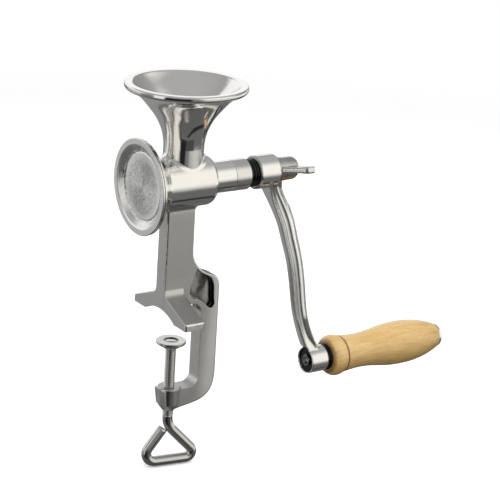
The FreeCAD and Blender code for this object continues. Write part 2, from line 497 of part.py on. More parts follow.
gp = lambda x, r: V(x, 0, GRIP_Z + r)
s1 = Part.BSplineCurve(); s1.interpolate([gp(142.7, 12.1), gp(143.5, 13.5), gp(144.8, 14.75), gp(146.6, 15.65), gp(148.8, 16.0), gp(151.0, 15.75), gp(153.0, 15.15), gp(154.4, 14.65)])
s2 = Part.BSplineCurve(); s2.interpolate([gp(156.1, 14.45), gp(158.4, 14.18), gp(161.0, 13.92), gp(164.5, 13.66), gp(168.0, 13.44), gp(172.0, 13.36), gp(177.0, 13.48), gp(183.0, 14.0), gp(190.0, 15.0), gp(196.0, 15.95), gp(202.0, 16.65), gp(208.0, 17.0), gp(214.0, 17.05), gp(220.0, 16.85), gp(226.0, 16.25), gp(232.0, 15.3), gp(236.0, 14.4), gp(240.0, 13.28), gp(244.0, 11.95), gp(247.0, 10.8), gp(249.3, 9.75)])
edges = [Part.makeLine(gp(GRIP_X0, BOLT_R + 0.08), gp(GRIP_X0, 11.6)), Part.makeLine(gp(GRIP_X0, 11.6), gp(142.7, 12.1)), s1.toShape(),
         Part.makeLine(gp(154.4, 14.65), gp(155.2, 13.3)), Part.makeLine(gp(155.2, 13.3), gp(156.1, 14.45)), s2.toShape(),
         Part.makeLine(gp(249.3, 9.75), gp(GRIP_X1, 9.4)), Part.makeLine(gp(GRIP_X1, 9.4), gp(GRIP_X1, BOLT_R + 0.08)), Part.makeLine(gp(GRIP_X1, BOLT_R + 0.08), gp(GRIP_X0, BOLT_R + 0.08))]
put("wooden_grip", Part.Face(Part.Wire(edges)).revolve(V(0, 0, GRIP_Z), XA, 360))

# ---- wing nut with a closed domed end ----
NX0, NX1, NR = 81.15, 100.3, 9.0
wp = lambda x, r: V(x, 0, SHAFT_Z - r)
wn = Part.Face(wire_of([
    ('l', wp(NX0, 0), wp(NX0, NR - 0.5)),
    ('l', wp(NX0, NR - 0.5), wp(NX0 + 0.5, NR)),
    ('l', wp(NX0 + 0.5, NR), wp(NX1 - 4.0, NR - 0.55)),
    ('s', [wp(NX1 - 4.0, NR - 0.55), wp(NX1 - 2.2, NR - 1.0), wp(NX1 - 0.8, NR - 2.2), wp(NX1, NR - 4.2)]),
    ('l', wp(NX1, NR - 4.2), wp(NX1, 0)),
    ('l', wp(NX1, 0), wp(NX0, 0)),
])).revolve(AX, XA, 360)
wing = rounded_poly([V(82.9, 0, SHAFT_Z + 5.0), V(82.9, 0, SHAFT_Z + 9.2), V(94.6, 0, SHAFT_Z + 25.6), V(104.2, 0, SHAFT_Z + 25.6), V(97.6, 0, SHAFT_Z + 11.0), V(96.0, 0, SHAFT_Z + 5.0)],
                    [0, 3.0, 3.4, 3.4, 8.0, 0])
w1 = extrude_y(wing, -WING_T, WING_T)
w1 = safe_fillet(w1, 1.2, lambda e: abs(abs(e.CenterOfMass.y) - WING_T) < 0.01 and e.CenterOfMass.z > SHAFT_Z + 5.5, "wing")
w2 = w1.copy()
w1.rotate(AX, XA, 90 - WING_UP)
w2.rotate(AX, XA, -90 - WING_UP)
wn = wn.fuse([w1, w2]).cut(cyl_x(TAIL_R + 0.08, NX0 - 1, 96.4))
put("wing_nut", wn.removeSplitter())

# ---- clamp: swivelling pad and bent screw ----
pad = Part.Face(Part.makePolygon([V(3.08, 0, PAD_Z1 - 5.2), V(6.2, 0, PAD_Z1 - 5.2), V(7.0, 0, PAD_Z1 - 3.6), V(PAD_R - 0.4, 0, PAD_Z1 - 2.4), V(PAD_R, 0, PAD_Z1 - 1.8), V(PAD_R, 0, PAD_Z1 - 0.3), V(PAD_R - 0.3, 0, PAD_Z1), V(5.6, 0, PAD_Z1), V(5.6, 0, PAD_Z1 - 1.9), V(3.08, 0, PAD_Z1 - 1.9), V(3.08, 0, PAD_Z1 - 5.2)])).revolve(V(0, 0, 0), ZA, 360)
put("pressure_pad", pad)

TILT = -9.0                  # the handle's plane is turned about the screw
stem_top = Part.Face(Part.makePolygon([V(0, 0, PAD_Z1 - 0.45), V(4.6, 0, PAD_Z1 - 0.9), V(4.6, 0, PAD_Z1 - 1.75), V(3.0, 0, PAD_Z1 - 1.85), V(3.0, 0, PAD_Z1 - 5.35), V(3.4, 0, PAD_Z1 - 5.4), V(SCREW_R, 0, PAD_Z1 - 6.2), V(SCREW_R, 0, -80.8), V(ROD_R, 0, -81.4), V(0, 0, -81.4), V(0, 0, PAD_Z1 - 0.45)])).revolve(V(0, 0, 0), ZA, 360)
PATH = [V(0, 0, -80.0), V(0, 0, -88.0), V(27.1, 0, -116.75), V(-22.5, 0, -116.5), V(-3.2, 0, -90.4)]
PATH_R = [0, 15.5, 4.8, 7.0, 0]


def open_path(pts, radii):
    edges = []
    cur = pts[0]
    for i in range(1, len(pts) - 1):
        p = pts[i]
        u = (pts[i - 1] - p).normalize()
        v = (pts[i + 1] - p).normalize()
        ang = u.getAngle(v)
        t = radii[i] / math.tan(ang / 2)
        bis = (u + v).normalize()
        c = p + bis * (radii[i] / math.sin(ang / 2))
        edges.append(Part.makeLine(cur, p + u * t))
        edges.append(Part.Arc(p + u * t, c - bis * radii[i], p + v * t).toShape())
        cur = p + v * t
    edges.append(Part.makeLine(cur, pts[-1]))
    return Part.Wire(edges)


path = open_path(PATH, PATH_R)
circ = Part.Wire([Part.makeCircle(ROD_R, PATH[0], V(0, 0, -1))])
rod = path.makePipeShell([circ], True, False)
end_dir = (PATH[4] - PATH[3]).normalize()
print("rod", rod.isValid(), rod.Volume, math.pi * ROD_R ** 2 * path.Length)
screw = stem_top.fuse(rod)
screw.rotate(V(0, 0, 0), ZA, TILT)
put("clamp_screw", screw.removeSplitter())

# ---- write the pieces ----
for name, shape in NODES.items():
    solids = shape.Solids
    bb = shape.BoundBox
    print("%-22s %s solids %d vol %.0f  x %.1f %.1f  y %.1f %.1f  z %.1f %.1f" % (name, shape.isValid(), len(solids), shape.Volume, bb.XMin, bb.XMax, bb.YMin, bb.YMax, bb.ZMin, bb.ZMax))
    out = solids[0] if len(solids) == 1 else Part.makeCompound(solids)
    out.exportStep("parts/" + name + ".step")
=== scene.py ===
import numpy as np
import bpy, bmesh, math
from mathutils import Vector, Matrix, noise


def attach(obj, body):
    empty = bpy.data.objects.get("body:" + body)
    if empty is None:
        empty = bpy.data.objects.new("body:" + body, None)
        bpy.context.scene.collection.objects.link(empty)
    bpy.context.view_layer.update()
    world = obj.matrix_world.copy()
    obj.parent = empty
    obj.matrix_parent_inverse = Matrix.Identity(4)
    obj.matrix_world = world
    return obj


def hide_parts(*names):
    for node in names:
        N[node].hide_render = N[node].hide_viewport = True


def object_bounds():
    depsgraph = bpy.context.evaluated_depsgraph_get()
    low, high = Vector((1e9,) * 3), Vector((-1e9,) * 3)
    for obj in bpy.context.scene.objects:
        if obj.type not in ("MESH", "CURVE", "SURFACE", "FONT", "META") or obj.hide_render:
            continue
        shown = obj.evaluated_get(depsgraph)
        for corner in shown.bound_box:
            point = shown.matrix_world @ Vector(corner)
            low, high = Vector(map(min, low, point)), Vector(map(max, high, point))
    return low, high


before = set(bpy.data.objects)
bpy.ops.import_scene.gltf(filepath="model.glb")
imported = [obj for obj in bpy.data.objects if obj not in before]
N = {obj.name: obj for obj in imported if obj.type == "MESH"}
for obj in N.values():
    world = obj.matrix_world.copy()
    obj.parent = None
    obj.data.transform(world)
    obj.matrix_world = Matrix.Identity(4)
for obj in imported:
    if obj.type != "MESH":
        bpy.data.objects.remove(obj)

CAD_LO, CAD_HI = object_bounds()
sc = bpy.context.scene
sc.view_settings.view_transform = 'Standard'
sc.view_settings.look = 'None'

MM = 0.001
SHAFT_Z = 100.0
GRIP_Z = -58.1


# ---------------------------------------------------------------- camera
def make_camera():
    cam = bpy.data.cameras.new("camera")
    cam.sensor_fit = 'AUTO'
    cam.sensor_width = 36.0
    cam.lens = 36.0 * 1823.4 / 500.0
    cam.clip_start = 0.05
    cam.clip_end = 60.0
    cam.dof.use_dof = False
    ob = bpy.data.objects.new("camera", cam)
    sc.collection.objects.link(ob)
    r = Vector((0.8328, -0.5505, 0.0579)).normalized()
    b = Vector((-0.5381, -0.7806, 0.3180)).normalized()
    u = b.cross(r).normalized()
    r = u.cross(b).normalized()
    ob.matrix_world = Matrix(((r.x, u.x, b.x, -0.6605), (r.y, u.y, b.y, -1.0525), (r.z, u.z, b.z, 0.4688), (0, 0, 0, 1)))
    sc.camera = ob
    return ob


make_camera()


# ---------------------------------------------------------------- node helpers
class Mat:
    """Small builder for node materials. obj is the position in the row frame, in metres."""

    def __init__(self, name):
        self.m = bpy.data.materials.new(name)
        self.m.use_nodes = True
        self.t = self.m.node_tree
        self.t.nodes.clear()
        self.out = self.t.nodes.new("ShaderNodeOutputMaterial")
        self.bsdf = self.t.nodes.new("ShaderNodeBsdfPrincipled")
        self.t.links.new(self.bsdf.outputs[0], self.out.inputs[0])
        tc = self.t.nodes.new("ShaderNodeTexCoord")
        self.obj = tc.outputs["Object"]
        self._geo = None

    def n(self, kind, **kw):
        nd = self.t.nodes.new(kind)
        for k, v in kw.items():
            setattr(nd, k, v)
        return nd

    def link(self, a, b):
        self.t.links.new(a, b)

    def set(self, **kw):
        for k, v in kw.items():
            self.bsdf.inputs[k.replace("_", " ")].default_value = v

    def geo(self, name):
        if self._geo is None:
            self._geo = self.n("ShaderNodeNewGeometry")
        return self._geo.outputs[name]

    def scaled(self, sx, sy, sz, loc=(0, 0, 0), rot=(0, 0, 0)):
        mp = self.n("ShaderNodeMapping")
        mp.inputs["Scale"].default_value = (sx, sy, sz)
        mp.inputs["Location"].default_value = loc
        mp.inputs["Rotation"].default_value = rot
        self.link(self.obj, mp.inputs["Vector"])
        return mp.outputs["Vector"]

    def noise(self, vec, scale, detail=3.0, rough=0.5, dist=0.0):
        nd = self.n("ShaderNodeTexNoise")
        nd.inputs["Scale"].default_value = scale
        nd.inputs["Detail"].default_value = detail
        nd.inputs["Roughness"].default_value = rough
        nd.inputs["Distortion"].default_value = dist
        self.link(vec, nd.inputs["Vector"])
        return nd.outputs["Fac"]

    def voronoi(self, vec, scale, feature='F1'):
        nd = self.n("ShaderNodeTexVoronoi", feature=feature)
        nd.inputs["Scale"].default_value = scale
        self.link(vec, nd.inputs["Vector"])
        return nd.outputs["Distance"]

    def rng(self, val, a, b, c, d, smooth=False):
        nd = self.n("ShaderNodeMapRange")
        nd.interpolation_type = 'SMOOTHSTEP' if smooth else 'LINEAR'
        nd.clamp = True
        for k, v in zip(("From Min", "From Max", "To Min", "To Max"), (a, b, c, d)):
            nd.inputs[k].default_value = v
        self.link(val, nd.inputs["Value"])
        return nd.outputs["Result"]

    def math(self, op, a, b=None):
        nd = self.n("ShaderNodeMath", operation=op)
        for i, v in enumerate((a, b)):
            if v is None:
                continue
            if isinstance(v, (int, float)):
                nd.inputs[i].default_value = v
            else:
                self.link(v, nd.inputs[i])
        return nd.outputs[0]

    def ramp(self, val, stops, smooth=False):
        nd = self.n("ShaderNodeValToRGB")
        cr = nd.color_ramp
        if smooth:
            cr.interpolation = 'EASE'
        while len(cr.elements) < len(stops):
            cr.elements.new(0.5)
        for e, (p, c) in zip(cr.elements, stops):
            e.position = p
            e.color = (c[0], c[1], c[2], 1.0)
        self.link(val, nd.inputs["Fac"])
        return nd.outputs["Color"]

    def mix(self, fac, a, b, mode='MIX'):
        nd = self.n("ShaderNodeMix", data_type='RGBA', blend_type=mode)
        if isinstance(fac, (int, float)):
            nd.inputs[0].default_value = fac
        else:
            self.link(fac, nd.inputs[0])
        for i, v in ((6, a), (7, b)):
            if isinstance(v, tuple):
                nd.inputs[i].default_value = (v[0], v[1], v[2], 1.0)
            else:
                self.link(v, nd.inputs[i])
        return nd.outputs[2]

    def mixf(self, fac, a, b):
        nd = self.n("ShaderNodeMix", data_type='FLOAT')
        self.link(fac, nd.inputs[0])
        for i, v in ((2, a), (3, b)):
            if isinstance(v, (int, float)):
                nd.inputs[i].default_value = v
            else:
                self.link(v, nd.inputs[i])
        return nd.outputs[0]

    def bump(self, height, dist, strength=1.0, normal=None):
        nd = self.n("ShaderNodeBump")
        nd.inputs["Strength"].default_value = strength
        nd.inputs["Distance"].default_value = dist
        self.link(height, nd.inputs["Height"])
        if normal is not None:
            self.link(normal, nd.inputs["Normal"])
        return nd.outputs["Normal"]

    def bevel(self, radius):
        nd = self.n("ShaderNodeBevel", samples=4)
        nd.inputs["Radius"].default_value = radius
        return nd.outputs["Normal"]

    def color(self, c):
        self.link(c, self.bsdf.inputs["Base Color"])

    def rough(self, r):
        self.link(r, self.bsdf.inputs["Roughness"])

    def normal(self, n):
        self.link(n, self.bsdf.inputs["Normal"])

    def axis(self, i, vec=None):
        nd = self.n("ShaderNodeSeparateXYZ")
        self.link(vec if vec is not None else self.obj, nd.inputs[0])
        return nd.outputs[i]

    def radius_x(self, z0):
        """Distance from the X line at height z0."""
        y = self.axis(1)
        z = self.math('SUBTRACT', self.axis(2), z0)
        return self.math('SQRT', self.math('ADD', self.math('MULTIPLY', y, y), self.math('MULTIPLY', z, z)))


def sc3(c, k):
    return tuple(min(1.0, x * k) for x in c)


# ---------------------------------------------------------------- materials
def polished_metal(name, tint, rough, wavy=0.00012, satin=None, bev=0.0005, wave_scale=48.0, grain=0.000005, pocket=False, darkened_end_to=None, dull_and_shade=0.4):
    """Polished casting, smoother along its rubbed edges and painted brighter there as a painted highlight.
    satin is (z low, z high): below it the finish turns to a duller linished one.
    Up to an x given as the end limit, the end face is darker by the given factor: painted shade on the crank hub's end
    face, blued steel at the bolt's end."""
    m = Mat(name)
    m.set(Metallic=1.0)
    v = m.obj
    smear = m.noise(v, 60.0, 5.0, 0.6)
    cloud = m.noise(v, 22.0, 2.0, 0.5)
    fine = m.noise(m.scaled(1, 1, 0.12), 900.0, 2.0, 0.5)
    pits = m.rng(m.noise(v, 1500.0, 2.0, 0.6), 0.66, 0.74, 0.0, 1.0)
    col = m.mix(m.rng(cloud, 0.35, 0.7, 0.0, 1.0), sc3(tint, 0.94), tint)
    col = m.mix(m.math('MULTIPLY', pits, 0.2), col, sc3(tint, 0.5))
    r = m.rng(smear, 0.3, 0.75, rough * 0.75, rough * 1.5)
    if satin:
        mask = m.rng(m.axis(2), satin[0], satin[1], 1.0, 0.0, True)
        brush = m.noise(m.scaled(1, 1, 0.05), 2600.0, 3.0, 0.6)
        r = m.mixf(mask, r, m.rng(brush, 0.3, 0.7, 0.29, 0.38))
        dull_and_shade = m.ramp(brush, [(0.25, sc3(tint, SATIN * 0.95)), (0.75, sc3(tint, SATIN * 1.05))])
        dull_and_shade = m.mix(m.rng(m.noise(v, 45.0, 3.0, 0.55), 0.35, 0.7, 0.0, 0.35), dull_and_shade, sc3(tint, SATIN * 0.86))
        col = m.mix(mask, col, dull_and_shade)
        fine = m.mixf(mask, fine, brush)
    if pocket:
        # hollow of the arm: lumpy casting skin, painted near-black as painted shade of the deep recess
        x, y, z = m.axis(0), m.math('ABSOLUTE', m.axis(1)), m.axis(2)
        lump = m.noise(m.scaled(1.0, 1.0, 0.55, (0, 0, 0), (0, math.radians(40), 0)), 75.0, 2.0, 0.5, 0.6)
        pocket_shade = m.math('MULTIPLY', m.rng(x, 0.0098, 0.0125, 0.0, 1.0, True), m.rng(y, 0.0050, 0.0060, 1.0, 0.0, True))
        pocket_shade = m.math('MULTIPLY', pocket_shade, m.math('MULTIPLY', m.rng(z, 0.0005, 0.0020, 0.0, 1.0, True), m.rng(z, 0.0355, 0.0375, 1.0, 0.0, True)))
        col = m.mix(pocket_shade, col, m.ramp(lump, [(0.38, sc3(tint, 0.05)), (0.52, sc3(tint, 0.16)), (0.64, sc3(tint, 0.50))]))
        r = m.mixf(pocket_shade, r, m.rng(lump, 0.3, 0.7, 0.14, 0.26))
    # end face darkened: painted shade on the crank hub's end face, blued steel at the bolt's end
    if darkened_end_to:
        face = m.rng(m.axis(0), darkened_end_to - 0.0003, darkened_end_to + 0.0003, 1.0, 0.0, True)
        col = m.mix(face, col, m.ramp(smear, [(0.3, sc3(tint, dull_and_shade * 0.8)), (0.7, sc3(tint, dull_and_shade * 1.2))]))
        r = m.mixf(face, r, 0.22)
    nb = None
    if bev:
        nb = m.bevel(bev)
        dt = m.n("ShaderNodeVectorMath", operation='DOT_PRODUCT')
        m.link(nb, dt.inputs[0])
        m.link(m.geo("Normal"), dt.inputs[1])
        edge = m.rng(dt.outputs["Value"], 0.86, 0.985, 1.0, 0.0)
    else:
        edge = m.rng(m.geo("Pointiness"), 0.53, 0.60, 0.0, 1.0)
    if satin:
        # the rounded upright edges, the leg-root fillet and the toes are buffed smooth and painted brighter as a
        # painted highlight
        nx, ny = m.axis(0, m.geo("Normal")), m.axis(1, m.geo("Normal"))
        corner = m.rng(m.math('ABSOLUTE', m.math('MULTIPLY', nx, ny)), 0.16, 0.34, 0.0, 1.0, True)
        yy = m.math('ABSOLUTE', m.axis(1))
        root = m.math('MULTIPLY', m.rng(m.axis(2), 0.0195, 0.0215, 0.0, 1.0, True), m.rng(m.axis(2), 0.0285, 0.0300, 1.0, 0.0, True))
        root = m.math('MULTIPLY', root, m.math('MULTIPLY', m.rng(yy, 0.0062, 0.0068, 0.0, 1.0, True), m.rng(yy, 0.0115, 0.0130, 1.0, 0.0, True)))
        toe = m.rng(yy, 0.0345, 0.0355, 0.0, 1.0, True)
        corner = m.math('MAXIMUM', corner, m.math('MAXIMUM', root, toe))
        edge = m.math('MAXIMUM', edge, m.math('MULTIPLY', corner, mask))
    # rubbed edges: lower roughness, and a painted highlight in the colour
    rub_and_highlight = m.math('MULTIPLY', edge, m.rng(m.noise(v, 170.0, 2.0, 0.5), 0.3, 0.6, 0.5, 1.0))
    col = m.mix(rub_and_highlight, col, sc3(tint, 1.06))
    r = m.mixf(rub_and_highlight, r, 0.14)
    m.color(col)
    m.rough(r)
    nb = m.bump(m.noise(v, wave_scale, 2.0, 0.45), wavy, 1.0, nb)
    m.normal(m.bump(fine, grain, 1.0, nb))
    return m.m


SATIN = 0.63
TINT = (0.86, 0.85, 0.83)
MATS = {}
MATS["body"] = polished_metal("polished_casting", TINT, 0.095, 0.00016, (0.076, 0.084), 0.0006, pocket=True)
# the hub's end face is painted darker as painted shade
MATS["crank"] = polished_metal("polished_crank", (0.87, 0.865, 0.85), 0.080, 0.00005, None, 0.0019, darkened_end_to=0.0639, dull_and_shade=0.42)
MATS["steel"] = polished_metal("turned_steel", (0.74, 0.735, 0.72), 0.20, 0.00002, None, 0.0003)
MATS["rod"] = polished_metal("bent_steel", (0.60, 0.59, 0.575), 0.13, 0.00003, None, 0.0)
MATS["blued"] = polished_metal("blued_nut", (0.16, 0.16, 0.165), 0.16, 0.00003, None, 0.0003)
MATS["dome"] = polished_metal("polished_steel", (0.86, 0.855, 0.84), 0.09, 0.00002, None, 0.0, darkened_end_to=0.1300, dull_and_shade=0.10)


def cast_metal(name, tint, rough, grain, scale, dark=0.82, buffed=None):
    """Grainy casting. buffed is a radius about the shaft, in metres, beyond which the skin is rubbed smooth."""
    m = Mat(name)
    m.set(Metallic=1.0)
    g = m.noise(m.obj, scale, 4.0, 0.65)
    c = m.noise(m.obj, scale * 0.12, 3.0, 0.55)
    col = m.ramp(c, [(0.3, sc3(tint, dark)), (0.7, tint)])
    pits = m.rng(m.voronoi(m.obj, scale * 0.8), 0.0, 0.35, 1.0, 0.0)
    pits = m.math('MULTIPLY', pits, 0.3)
    r = m.rng(g, 0.25, 0.75, rough * 0.8, rough * 1.25)
    if buffed:
        out = m.rng(m.radius_x(SHAFT_Z * MM), buffed, buffed + 0.002, 0.0, 1.0, True)
        keep = m.rng(out, 0.0, 1.0, 1.0, 0.04)
        pits = m.math('MULTIPLY', pits, keep)
        g = m.math('MULTIPLY', g, keep)
        col = m.mix(out, col, m.ramp(c, [(0.3, sc3(tint, 1.15)), (0.7, sc3(tint, 1.35))]))
        r = m.mixf(out, r, m.rng(c, 0.3, 0.7, 0.12, 0.2))
    col = m.mix(pits, col, sc3(tint, 0.45))
    edge = m.rng(m.geo("Pointiness"), 0.52, 0.62, 0.0, 1.0)
    col = m.mix(m.math('MULTIPLY', edge, 0.5), col, sc3(tint, 1.2))
    m.color(col)
    m.rough(r)
    m.normal(m.bump(g, grain, 1.0))
    return m.m


MATS["nut"] = cast_metal("cast_nut", (0.58, 0.57, 0.55), 0.27, 0.00022, 620.0, 0.6, 0.0088)
MATS["iron"] = cast_metal("burr_iron", (0.38, 0.375, 0.37), 0.42, 0.00008, 1400.0)
MATS["worm"] = cast_metal("worm_casting", (0.55, 0.545, 0.53), 0.38, 0.00010, 800.0)


def disc_metal():
    """Turned floor with a sandy grain and a lighter ring round it, smooth cone and rim."""
    m = Mat("disc_casting")
    m.set(Metallic=1.0, Anisotropic=0.75)
    tg = m.n("ShaderNodeTangent", direction_type='RADIAL', axis='X')
    m.link(tg.outputs[0], m.bsdf.inputs["Tangent"])
    r = m.radius_x(SHAFT_Z * MM)
    rw = m.math('ADD', r, m.math('MULTIPLY', m.math('SUBTRACT', m.noise(m.obj, 240.0, 3.0, 0.6), 0.5), 0.0026))
    floor = m.rng(rw, 0.0240, 0.0248, 1.0, 0.0, True)
    inner = m.rng(rw, 0.0180, 0.0222, 1.0, 0.0, True)
    lip_highlight = m.math('MULTIPLY', m.rng(rw, 0.0236, 0.0243, 0.0, 1.0, True), m.rng(rw, 0.0252, 0.0258, 1.0, 0.0, True))
    sand = m.noise(m.obj, 560.0, 4.0, 0.75)
    grit = m.rng(m.voronoi(m.obj, 620.0), 0.10, 0.40, 1.0, 0.0)
    cloud = m.noise(m.obj, 70.0, 3.0, 0.55)
    tint = (0.84, 0.835, 0.815)
    base = m.ramp(sand, [(0.36, sc3(tint, 0.62)), (0.50, sc3(tint, 0.88)), (0.64, sc3(tint, 1.10))])
    base = m.mix(m.math('MULTIPLY', grit, 0.22), base, sc3(tint, 0.5))
    edge = m.mix(m.rng(sand, 0.40, 0.60, 0.0, 0.5), sc3(tint, 1.14), sc3(tint, 0.92))
    base = m.mix(inner, edge, base)
    rim = m.ramp(cloud, [(0.3, sc3(tint, 0.84)), (0.7, sc3(tint, 1.04))])
    rim = m.mix(m.rng(sand, 0.54, 0.66, 0.0, 0.4), rim, sc3(tint, 0.62))
    # painted highlight along the raised lip at the floor's edge
    rim = m.mix(m.math('MULTIPLY', lip_highlight, m.rng(cloud, 0.35, 0.55, 0.3, 1.0)), rim, sc3(tint, 1.17))
    m.color(m.mix(floor, rim, base))
    rr = m.mixf(inner, m.rng(sand, 0.25, 0.75, 0.26, 0.42), m.rng(sand, 0.25, 0.75, 0.34, 0.52))
    m.rough(m.mixf(floor, m.rng(cloud, 0.3, 0.7, 0.20, 0.30), rr))
    h = m.mixf(floor, m.math('MULTIPLY', sand, 0.16), m.mixf(inner, m.math('MULTIPLY', sand, 0.45), sand))
    m.normal(m.bump(h, 0.00036, 1.0))
    return m.m


MATS["disc"] = disc_metal()


def black_soft(name, rough, lift=1.0, shine=0.5):
    m = Mat(name)
    m.set(Specular_IOR_Level=shine)
    g = m.noise(m.obj, 1600.0, 3.0, 0.6)
    m.color(m.ramp(g, [(0.3, sc3((0.008, 0.008, 0.009), lift)), (0.75, sc3((0.020, 0.020, 0.022), lift))]))
    m.rough(m.rng(g, 0.3, 0.7, rough * 0.85, rough * 1.2))
    m.normal(m.bump(g, 0.00003, 1.0))
    return m.m


MATS["rubber"] = black_soft("black_rubber", 0.15, 0.12, 0.6)
MATS["plastic"] = black_soft("black_plastic", 0.22, 0.12, 0.16)


def wood():
    """Turned light hardwood under lacquer: long fibres, short pore flecks, a burnt tint in the groove, painted shade on
    the end towards the crank and a painted shadow by the end cap.
    """
    m = Mat("lacquered_wood")
    rings = m.noise(m.scaled(0.9, 7.0, 7.0), 32.0, 3.0, 0.55, 0.8)
    fibre = m.noise(m.scaled(0.06, 1.0, 1.0), 900.0, 4.0, 0.65)
    fleck = m.noise(m.scaled(0.16, 1.0, 1.0), 1150.0, 2.0, 0.6)
    cloud = m.noise(m.obj, 26.0, 2.0, 0.5)
    base = m.ramp(rings, [(0.30, (0.56, 0.335, 0.108)), (0.50, (0.655, 0.425, 0.155)), (0.70, (0.71, 0.49, 0.20))])
    base = m.mix(m.rng(fibre, 0.48, 0.75, 0.0, 0.35), base, (0.50, 0.285, 0.080))
    base = m.mix(m.rng(fleck, 0.64, 0.69, 0.0, 0.60), base, (0.33, 0.17, 0.045))
    base = m.mix(m.rng(cloud, 0.45, 0.7, 0.0, 0.35), base, (0.74, 0.53, 0.25))
    x = m.axis(0)
    groove = m.rng(m.math('ABSOLUTE', m.math('SUBTRACT', x, 0.1552)), 0.0004, 0.0014, 1.0, 0.0, True)
    base = m.mix(m.math('MULTIPLY', groove, 0.8), base, (0.26, 0.115, 0.030))
    # painted shade on the end towards the crank, in the gap at the hub, with a ragged edge
    edge = m.math('ADD', x, m.math('MULTIPLY', m.math('SUBTRACT', m.noise(m.obj, 420.0, 3.0, 0.6), 0.5), 0.0026))
    end = m.rng(edge, 0.1424, 0.1446, 1.0, 0.0, True)
    # painted shadow on the wood where it meets the end cap
    cap_gap_shadow = m.rng(x, 0.2482, 0.2495, 0.0, 0.6, True)
    base = m.mix(m.math('MULTIPLY', end, 0.85), base, (0.17, 0.075, 0.022))
    base = m.mix(cap_gap_shadow, base, (0.40, 0.22, 0.07))
    m.color(base)
    m.set(Coat_Weight=0.55, Coat_Roughness=0.16)
    m.rough(m.rng(fibre, 0.3, 0.7, 0.38, 0.52))
    turn = m.noise(m.scaled(1.0, 0.02, 0.02), 1400.0, 2.0, 0.5)
    nb = m.bump(fibre, 0.00004, 1.0)
    m.normal(m.bump(turn, 0.00003, 1.0, nb))
    return m.m


MATS["wood"] = wood()

ASSIGN = {
    "body_casting": "body", "bearing_bush": "steel", "fixed_burr": "iron", "fixed_burr_screws": "steel", "drive_shaft": "steel",
    "feed_auger": "worm", "auger_pin": "steel", "grinding_disc": "disc", "disc_pin": "steel", "rotating_burr": "iron",
    "rotating_burr_screws": "steel", "tension_rings": "rubber", "crank_arm": "crank", "grip_bush": "plastic", "grip_bolt": "dome",
    "grip_nut": "blued", "grip_collar": "plastic", "wooden_grip": "wood", "wing_nut": "nut", "pressure_pad": "steel", "clamp_screw": "rod",
}
for name, key in ASSIGN.items():
    ob = N[name]
    ob.data.materials.clear()
    ob.data.materials.append(MATS[key])


# ---------------------------------------------------------------- mesh helpers
def add_piece(name, verts, faces, key, body, node, angle=38.0):
    me = bpy.data.meshes.new(name)
    me.from_pydata(verts, [], faces)
    bm = bmesh.new()
    bm.from_mesh(me)
    bmesh.ops.recalc_face_normals(bm, faces=bm.faces)
    bm.to_mesh(me)
    bm.free()
    me.polygons.foreach_set("use_smooth", [True] * len(me.polygons))
    me.set_sharp_from_angle(angle=math.radians(angle))
    me.materials.append(MATS[key])
    ob = bpy.data.objects.new(name, me)
    sc.collection.objects.link(ob)
    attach(ob, body)
    if node:
        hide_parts(*([node] if isinstance(node, str) else node))
    return ob


def rounded(pts, radii, n=5):
    """Polyline with a tangent arc of the given radius at each inner point. Points are 2-tuples."""
    out = []
    for i, p in enumerate(pts):
        r = radii[i] if i < len(radii) else 0
        if r <= 0 or i in (0, len(pts) - 1):
            out.append(p)
            continue
        P, A, B = Vector(p), Vector(pts[i - 1]), Vector(pts[i + 1])
        u, v = (A - P).normalized(), (B - P).normalized()
        ang = u.angle(v)
        if ang > math.pi - 0.02:
            out.append(p)
            continue
        t = min(r / math.tan(ang / 2), 0.49 * (A - P).length, 0.49 * (B - P).length)
        rr = t * math.tan(ang / 2)
        c = P + (u + v).normalized() * (rr / math.sin(ang / 2))
        s, e = P + u * t - c, P + v * t - c
        a0 = math.atan2(s.y, s.x)
        da = (math.atan2(e.y, e.x) - a0 + math.pi) % (2 * math.pi) - math.pi
        for k in range(n + 1):
            a = a0 + da * k / n
            out.append((c.x + rr * math.cos(a), c.y + rr * math.sin(a)))
    return out


def lathe_x(profile, z0, seg=96, shift=None, closed=False):
    """Verts and faces of (x, r) points, in mm, turned about the X line at height z0. A point on the axis makes a pole."""
    verts, rows = [], []
    for k, (x, r) in enumerate(profile):
        if r < 1e-6:
            rows.append([len(verts)])
            verts.append((x * MM, 0.0, z0 * MM))
            continue
        row = []
        for j in range(seg):
            a = 2 * math.pi * j / seg
            dx, dr = shift(x, r, a) if shift else (0.0, 0.0)
            row.append(len(verts))
            verts.append(((x + dx) * MM, (r + dr) * math.cos(a) * MM, (z0 + (r + dr) * math.sin(a)) * MM))
        rows.append(row)
    faces = []
    pairs = list(zip(rows, rows[1:])) + ([(rows[-1], rows[0])] if closed else [])
    for a, b in pairs:
        if len(a) == 1 and len(b) == 1:
            continue
        for j in range(seg):
            k = (j + 1) % seg
            if len(a) == 1:
                faces.append((a[0], b[j], b[k]))
            elif len(b) == 1:
                faces.append((a[j], b[0], a[k]))
            else:
                faces.append((a[j], b[j], b[k], a[k]))
    return verts, faces


def even_out(me, z0, z1, rounds):
    """Takes the small ripple out of the skin between two heights without shrinking it."""
    n = len(me.vertices)
    co = np.empty(n * 3)
    me.vertices.foreach_get("co", co)
    co = co.reshape(-1, 3)
    ed = np.empty(len(me.edges) * 2, dtype=np.int64)
    me.edges.foreach_get("vertices", ed)
    a, b = ed.reshape(-1, 2).T
    deg = np.maximum(np.bincount(np.concatenate((a, b)), minlength=n), 1)[:, None]
    k = np.clip(np.minimum(co[:, 2] - z0, z1 - co[:, 2]) / (5.0 * MM), 0.0, 1.0)[:, None]
    for i in range(rounds):
        for f in (0.6, -0.61):
            s = np.stack([np.bincount(a, co[b, j], n) + np.bincount(b, co[a, j], n) for j in range(3)], axis=1)
            co = co + f * k * (s / deg - co)
    me.vertices.foreach_set("co", co.ravel())
    me.update()


